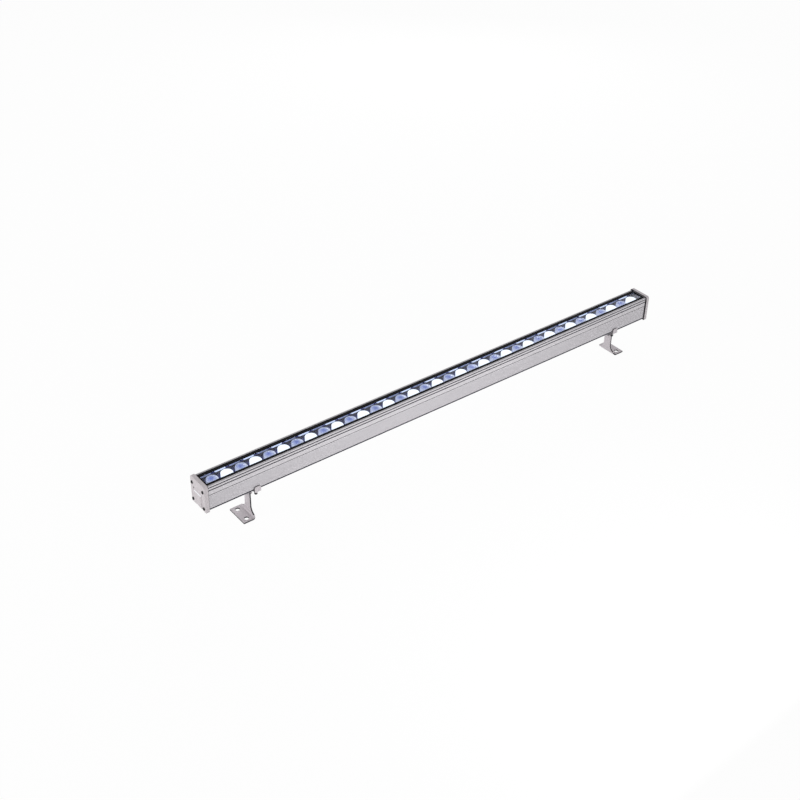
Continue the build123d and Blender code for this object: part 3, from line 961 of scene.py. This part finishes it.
@dataclass
class SawnClip(EasedCopy):
    """A clip cut from a drawn profile, with painted shade on its sawn ends and on top of its lips."""

    lip: float = 20.0 * MM
    # How dark the painted shade on the ends and the lip tops is.
    lip_and_end_shade: float = 0.8

    def recess(self, place: Vector, normal: Vector) -> float:
        """Paint shade on the sawn ends and on the tops of the lips.

        Args:
            place: Point on the surface.
            normal: Direction that the surface faces there.

        Returns:
            The painted shade of such a face there, otherwise 0.
        """
        lip_top = abs(place.y) > self.lip and normal.z > self.slanted
        return self.lip_and_end_shade if lip_top or abs(normal.x) > self.slanted else 0.0


@dataclass
class LensRow:
    """The row of collimator lenses, lit and pale in turn."""

    turns: int = 48
    depth: float = 4.5 * MM
    shoulder: float = 0.9 * MM
    drum: float = 7.8 * MM
    land: float = 0.8 * MM
    groove: float = 0.3 * MM
    base_radius: float = 4.8 * MM
    waist: float = 0.5 * MM
    pocket_radius: float = 2.7 * MM
    pocket_wall: float = 1.68 * MM
    pocket_flat: float = 1.35 * MM
    pocket: float = 2.1 * MM
    crown_steps: int = 8
    body_steps: int = 6
    crease: float = math.radians(40)

    def __post_init__(self) -> None:
        """Read the row's place from the CAD lenses."""
        lenses = (node for node in frame["nodes"] if node.startswith("lens_"))
        self.nodes = sorted(node for node in lenses if node != "lens_tray")
        low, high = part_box(self.nodes[0])
        self.first = Vector(((low.x + high.x) / 2, (low.y + high.y) / 2, low.z))
        self.radius = (high.x - low.x) / 2
        self.height = high.z - low.z
        self.pitch = (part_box(self.nodes[-1])[0].x - low.x) / (len(self.nodes) - 1)

    def profile(self) -> list[tuple[float, float]]:
        """Give the lens profile from its pocket round the body and drum to the crown.

        Returns:
            Radius and height of each step.
        """
        top = self.depth + self.drum
        neck = self.radius - self.shoulder
        crown_radius = self.radius - self.land
        steps = [(self.pocket_flat, self.pocket), (self.pocket_radius, self.pocket_wall)]
        steps += [(self.pocket_radius, 0.0), (self.base_radius, 0.0)]
        for i in range(1, self.body_steps + 1):
            share = i / self.body_steps
            taper = self.base_radius + (neck - self.base_radius) * share
            steps.append((taper - self.waist * math.sin(math.pi * share), self.depth * share))
        steps += [(self.radius, self.depth), (self.radius, top), (crown_radius, top)]
        steps.append((crown_radius - self.groove, top - self.groove))
        dome = crown_radius - 2 * self.groove
        for i in range(self.crown_steps):
            radius = dome * (1 - i / self.crown_steps)
            steps.append((radius, top + (self.height - top) * (1 - (radius / dome) ** 2)))
        return steps

    def master(self) -> bpy.types.Object:
        """Make the lens that the row repeats, with each point's place within it.

        Returns:
            The master, which goes when the row is grown.
        """
        rings = [circle(radius, height, self.turns) for radius, height in self.profile()]
        lens = smooth_mesh(loft(rings), "lens_master", self.crease)
        place = lens.attributes.new(LENS_PLACE, "FLOAT_VECTOR", "POINT")
        for vertex, item in zip(lens.vertices, place.data):
            item.vector = (vertex.co.x / self.radius, vertex.co.y / self.radius, 0.0)
        return add_object("lens_master", lens)

    def tree(self) -> GeometryTree:
        """Make the tree that sets lenses along the row.

        Returns:
            The tree, with its count, start, step and master as inputs.
        """
        tree = GeometryTree("lens_row")
        feeds = {"Count": tree.size("Count", "Int"), "Start Location": tree.size("Start", "Vector"),
                 "Offset": tree.size("Step", "Vector")}
        line = tree.node("MeshLine", feeds, mode="OFFSET")
        tree.close(tree.copies(line.outputs["Mesh"]))
        return tree

    def build(self, palette: Palette) -> None:
        """Grow the pale and the lit lenses, which take turns along the row.

        Args:
            palette: Finishes of the slots.
        """
        tree = self.tree()
        master = self.master()
        for turn, state in enumerate((LensState.PALE, LensState.LIT)):
            nodes = self.nodes[turn::2]
            name = f"{state.name.lower()}_lenses"
            start = self.first + Vector((turn * self.pitch, 0.0, 0.0))
            values = {"Count": len(nodes), "Start": start, "Step": (2 * self.pitch, 0.0, 0.0),
                      "Master": master, "Finish": palette.of_slot(state.value)}
            seat(tree.grow(name, values), LAMP_BODY, state.value, *nodes)
        bpy.data.objects.remove(master)


@dataclass
class CapScrews:
    """Socket-head screws at the corners of both end caps."""

    head_radius: float = 2.75 * MM
    head: float = 3.0 * MM
    head_edge: float = 0.35 * MM
    socket: float = 2.5 * MM
    socket_depth: float = 1.4 * MM
    shank_radius: float = 1.5 * MM
    tip_radius: float = 0.9 * MM
    tip: float = 0.6 * MM
    grip: float = 12.0 * MM
    turns: int = 24
    crease: float = math.radians(30)

    def __post_init__(self) -> None:
        """Read the corners from the CAD screws."""
        low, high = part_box("cap_screws")
        self.reach = high.x
        self.width = high.y - low.y - 2 * self.head_radius
        self.height = high.z - low.z - 2 * self.head_radius
        self.middle = (high.z + low.z) / 2
        self.length = high.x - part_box("housing")[1].x + self.grip

    def master(self) -> bpy.types.Object:
        """Make one screw along X, with the top of its head at X = 0.

        Returns:
            The master, which goes when the screws are grown.
        """
        rounds = (
            (self.tip_radius, -self.length),
            (self.shank_radius, self.tip - self.length),
            (self.shank_radius, -self.head),
            (self.head_radius, -self.head),
            (self.head_radius, -self.head_edge),
            (self.head_radius - self.head_edge, 0.0),
        )
        rings = [circle(radius, height, self.turns) for radius, height in rounds]
        rings += [hexagon(self.socket, height, self.turns) for height in (0.0, -self.socket_depth)]
        mesh = loft(rings)
        bmesh.ops.transform(mesh, matrix=Matrix.Rotation(math.pi / 2, 4, "Y"), verts=mesh.verts)
        return add_object("cap_screw_master", smooth_mesh(mesh, "cap_screw_master", self.crease))

    def tree(self) -> GeometryTree:
        """Make the tree that sets a screw at each corner of both ends.

        Returns:
            The tree, with the corners' spacing and the master as inputs.
        """
        tree = GeometryTree("cap_screw_corners")
        feeds = {"Size X": tree.size("Height", "Float"), "Size Y": tree.size("Width", "Float"),
                 "Vertices X": 2, "Vertices Y": 2}
        corners = tree.node("MeshGrid", feeds)
        upright, half_turn = (0.0, math.pi / 2, 0.0), (0.0, 0.0, math.pi)
        feeds = {"Geometry": corners.outputs["Mesh"], "Translation": tree.size("End", "Vector"),
                 "Rotation": upright}
        right = tree.copies(tree.node("Transform", feeds).outputs["Geometry"])
        left = tree.node("Transform", {"Geometry": right, "Rotation": half_turn})
        both = tree.node("JoinGeometry", {})
        for end in (right, left.outputs["Geometry"]):
            tree.tree.links.new(end, both.inputs["Geometry"])
        tree.close(both.outputs["Geometry"])
        return tree

    def build(self, palette: Palette) -> None:
        """Grow the screws.

        Args:
            palette: Finishes of the slots.
        """
        master = self.master()
        slot = palette.slots["cap_screws"]
        values = {"Height": self.height, "Width": self.width, "End": (self.reach, 0.0, self.middle),
                  "Master": master, "Finish": palette.of_slot(slot)}
        seat(self.tree().grow("cap_screw_set", values), LAMP_BODY, slot, "cap_screws")
        bpy.data.objects.remove(master)


@dataclass
class LampBody:
    """The housing with its caps, seal and gland, and the strips inside it."""

    draw_edge: float = 0.15 * MM
    cast_edge: float = 0.09 * MM
    rubber_edge: float = 0.4 * MM
    nylon_edge: float = 0.3 * MM
    inside: tuple[str, ...] = (
        "left_end_gasket", "right_end_gasket", "cover_glass", "lens_tray", "led_board", "led_emitters",
        "driver_module", "terminal_block", "gland_seal",
    )

    def build(self, palette: Palette) -> None:
        """Ease the outer pieces and dress the strips inside.

        Args:
            palette: Finishes of the slots.
        """
        DrawnHousing("housing", "drawn_housing", LAMP_BODY, self.draw_edge).build(palette)
        for side in Side:
            cap, casting = f"{side.value}_end_cap", f"{side.value}_cap_casting"
            CastCap(cap, casting, LAMP_BODY, self.cast_edge).build(palette)
        for node, name, ease in (
            ("glass_seal", "window_seal", self.rubber_edge),
            ("cable_gland", "gland_body", self.nylon_edge),
            ("gland_nut", "gland_cap_nut", self.nylon_edge),
        ):
            EasedCopy(node, name, LAMP_BODY, ease).build(palette)
        for node in self.inside:
            palette.dress(node)


@dataclass
class Bracket:
    """Clip, fasteners and tilting foot of one end."""

    side: Side
    clip_edge: float = 0.4 * MM
    plate_edge: float = 0.3 * MM
    screw_edge: float = 0.3 * MM

    def build(self, palette: Palette) -> None:
        """Ease the pieces of the bracket, each on its own body.

        Args:
            palette: Finishes of the slots.
        """
        side = self.side.value
        clip_body, foot_body = f"{side}_clip", f"{side}_foot"
        SawnClip(f"{side}_clip", f"{side}_slide_clip", clip_body, self.clip_edge).build(palette)
        EasedCopy(f"{side}_lock_screw", f"{side}_clamp_screw", clip_body, self.screw_edge).build(palette)
        EasedCopy(f"{side}_pivot_fasteners", f"{side}_pivot_set", clip_body, self.screw_edge).build(palette)
        BentPlate(f"{side}_foot", f"{side}_foot_plate", foot_body, self.plate_edge).build(palette)


@dataclass(frozen=True)
class SoftLamp:
    """A rectangular studio lamp that neither the camera nor a mirror sees."""

    name: str
    place: tuple[float, float, float]
    size: tuple[float, float]
    watts: float

    def hang(self, target: Vector) -> None:
        """Put the lamp into the scene.

        Args:
            target: Point that it is turned to.
        """
        light = bpy.data.lights.new(self.name, "AREA")
        light.shape = "RECTANGLE"
        light.size, light.size_y = self.size
        light.energy = self.watts
        lamp = bpy.data.objects.new(self.name, light)
        lamp.location = self.place
        lamp.visible_camera = lamp.visible_glossy = False
        lamp.rotation_euler = (target - Vector(self.place)).to_track_quat("-Z", "Y").to_euler()
        bpy.context.scene.collection.objects.link(lamp)


@dataclass
class Studio:
    """White studio, and the camera at the photograph's viewing angle."""

    azimuth: float = math.radians(-38.13)
    elevation: float = math.radians(35.06)
    roll: float = math.radians(1.05)
    distance: float = 2.2257
    target: tuple[float, float, float] = (-0.0972, 0.0, 0.0956)
    lens: float = 57.776
    sensor: float = 36.0
    floor_half: float = 12.0
    floor_colour: Colour = (0.9, 0.9, 0.9)
    floor_roughness: float = 0.9
    floor_white: float = 0.96
    surround: float = 0.45
    lamps: tuple[SoftLamp, ...] = (
        SoftLamp("key_light", (-0.06, -0.75, 0.28), (0.6, 0.5), 3.5),
        SoftLamp("fill_light", (-2.4, 0.4, 0.6), (1.2, 0.8), 25.0),
        SoftLamp("back_light", (1.3, 1.6, 0.7), (1.0, 0.6), 10.0),
    )

    def build(self) -> None:
        """Set up the view, the light, the floor and the camera."""
        bpy.context.scene.view_settings.view_transform = "Standard"
        self.build_world()
        self.build_floor()
        for lamp in self.lamps:
            lamp.hang(Vector(self.target))
        self.build_camera()

    def show_white(self, tree: bpy.types.NodeTree, lit: Socket, white: Socket, share: float) -> Socket:
        """Let camera, mirror and glass rays see plain white, and other rays what lights the object.

        Args:
            tree: Node tree that gets the nodes.
            lit: Shader that lights the object.
            white: Shader that is plain white.
            share: How much of what the first rays see is white.

        Returns:
            The mixed shader.
        """
        path = tree.nodes.new("ShaderNodeLightPath")
        seen = path.outputs["Is Camera Ray"]
        for name in ("Is Glossy Ray", "Is Transmission Ray"):
            either = tree.nodes.new("ShaderNodeMath")
            either.operation = "MAXIMUM"
            tree.links.new(seen, either.inputs[0])
            tree.links.new(path.outputs[name], either.inputs[1])
            seen = either.outputs[0]
        weight = tree.nodes.new("ShaderNodeMath")
        weight.operation = "MULTIPLY"
        weight.inputs[1].default_value = share
        tree.links.new(seen, weight.inputs[0])
        mix = tree.nodes.new("ShaderNodeMixShader")
        for i, socket in enumerate((weight.outputs[0], lit, white)):
            tree.links.new(socket, mix.inputs[i])
        return mix.outputs[0]

    def build_world(self) -> None:
        """Make a white surround that lights the object at a plain level."""
        world = bpy.data.worlds.new("studio")
        bpy.context.scene.world = world
        world.use_nodes = True
        tree = world.node_tree
        tree.nodes.clear()
        light, white = (tree.nodes.new("ShaderNodeBackground") for _ in range(2))
        for background in (light, white):
            background.inputs["Color"].default_value = (1.0, 1.0, 1.0, 1.0)
        light.inputs["Strength"].default_value = self.surround
        output = tree.nodes.new("ShaderNodeOutputWorld")
        mixed = self.show_white(tree, light.outputs[0], white.outputs[0], 1.0)
        tree.links.new(mixed, output.inputs["Surface"])

    def build_floor(self) -> None:
        """Lay a pale floor that is nearly white in view and keeps the object's shadow."""
        mesh = bmesh.new()
        bmesh.ops.create_grid(mesh, x_segments=8, y_segments=8, size=self.floor_half)
        floor = add_object("studio_floor", smooth_mesh(mesh, "studio_floor", math.pi))
        graph = ShaderGraph("studio_floor")
        graph.shade(base_color=self.floor_colour, roughness=self.floor_roughness)
        white = graph.tree.nodes.new("ShaderNodeEmission")
        lit = graph.shader.outputs["BSDF"]
        mixed = self.show_white(graph.tree, lit, white.outputs[0], self.floor_white)
        graph.tree.links.new(mixed, graph.output.inputs["Surface"])
        floor.data.materials.append(graph.material)

    def build_camera(self) -> None:
        """Place the camera at the photograph's viewing angle."""
        back = Matrix.Rotation(self.azimuth, 3, "Z") @ Vector(
            (0.0, -math.cos(self.elevation), math.sin(self.elevation))
        )
        right = Vector((0.0, 0.0, 1.0)).cross(back).normalized()
        up = back.cross(right)
        turned_right = right * math.cos(self.roll) + up * math.sin(self.roll)
        turned_up = up * math.cos(self.roll) - right * math.sin(self.roll)
        data = bpy.data.cameras.new("photo_camera")
        data.lens = self.lens
        data.sensor_width = self.sensor
        camera = bpy.data.objects.new("photo_camera", data)
        camera.matrix_world = Matrix.Translation(Vector(self.target) + back * self.distance) @ Matrix(
            (turned_right, turned_up, back)
        ).transposed().to_4x4()
        bpy.context.scene.collection.objects.link(camera)
        bpy.context.scene.camera = camera


def main() -> None:
    """Build the studio, then the lamp from its body to its brackets."""
    logging.basicConfig(level=logging.INFO, format="%(message)s")
    Studio().build()
    palette = Palette(FINISHES)
    LampBody().build(palette)
    LensRow().build(palette)
    CapScrews().build(palette)
    for side in Side:
        Bracket(side).build(palette)


if __name__ == "__main__":
    main()
